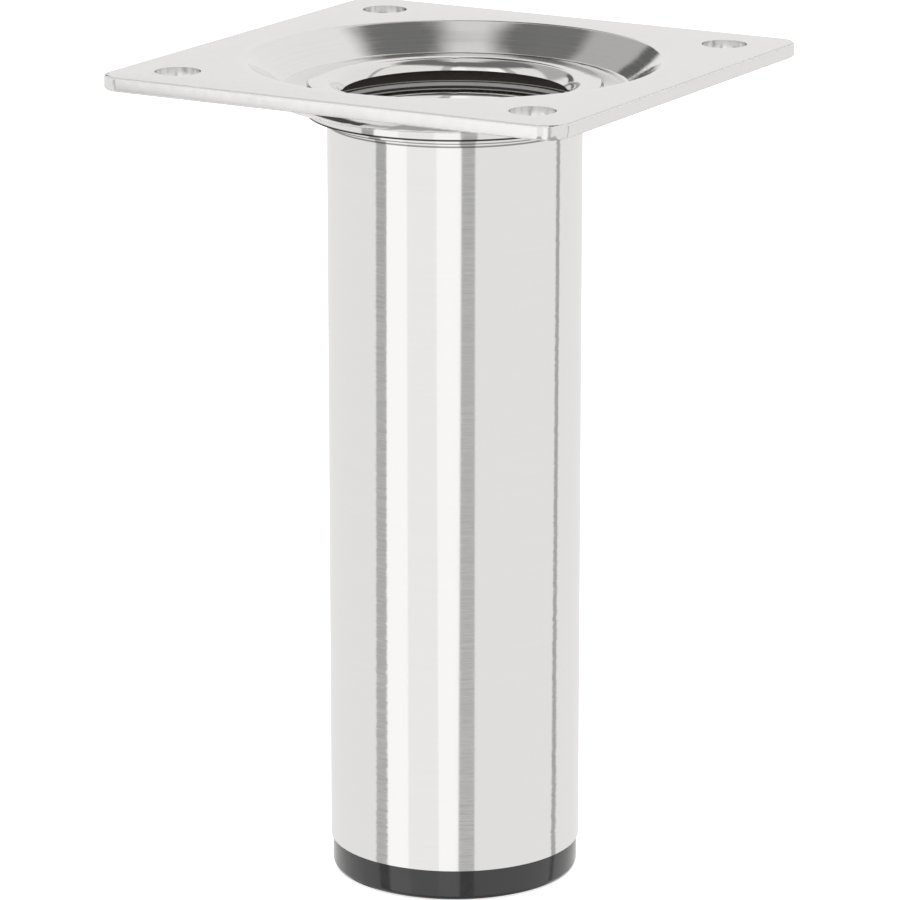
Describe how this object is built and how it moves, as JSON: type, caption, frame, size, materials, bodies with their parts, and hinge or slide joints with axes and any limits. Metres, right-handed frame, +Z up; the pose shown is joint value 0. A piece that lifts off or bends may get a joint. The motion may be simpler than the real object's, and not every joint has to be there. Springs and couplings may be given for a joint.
{
  "type": "furniture leg",
  "caption": "Round steel furniture leg with a square screw plate on top and a black plastic foot cap.",
  "frame": {"origin": "on the tube's axis at the underside of the foot cap, where the leg stands on the floor", "axes": "+Z up along the tube to the mounting plate; X and Y along the plate's sides"},
  "size_m": [0.061, 0.061, 0.0997],
  "materials": {
    "plate_steel": "satin nickel-plated pressed sheet steel",
    "ring_steel": "polished nickel-plated turned steel",
    "tube_steel": "nickel-plated steel tube brushed round its girth",
    "cap_plastic": "fine-grained black moulded plastic"
  },
  "bodies": {
    "root": {"mounting_plate": "plate_steel", "collar": "ring_steel", "tube_ring": "ring_steel", "leg_tube": "tube_steel", "foot_cap": "cap_plastic"}
  },
  "joints": []
}
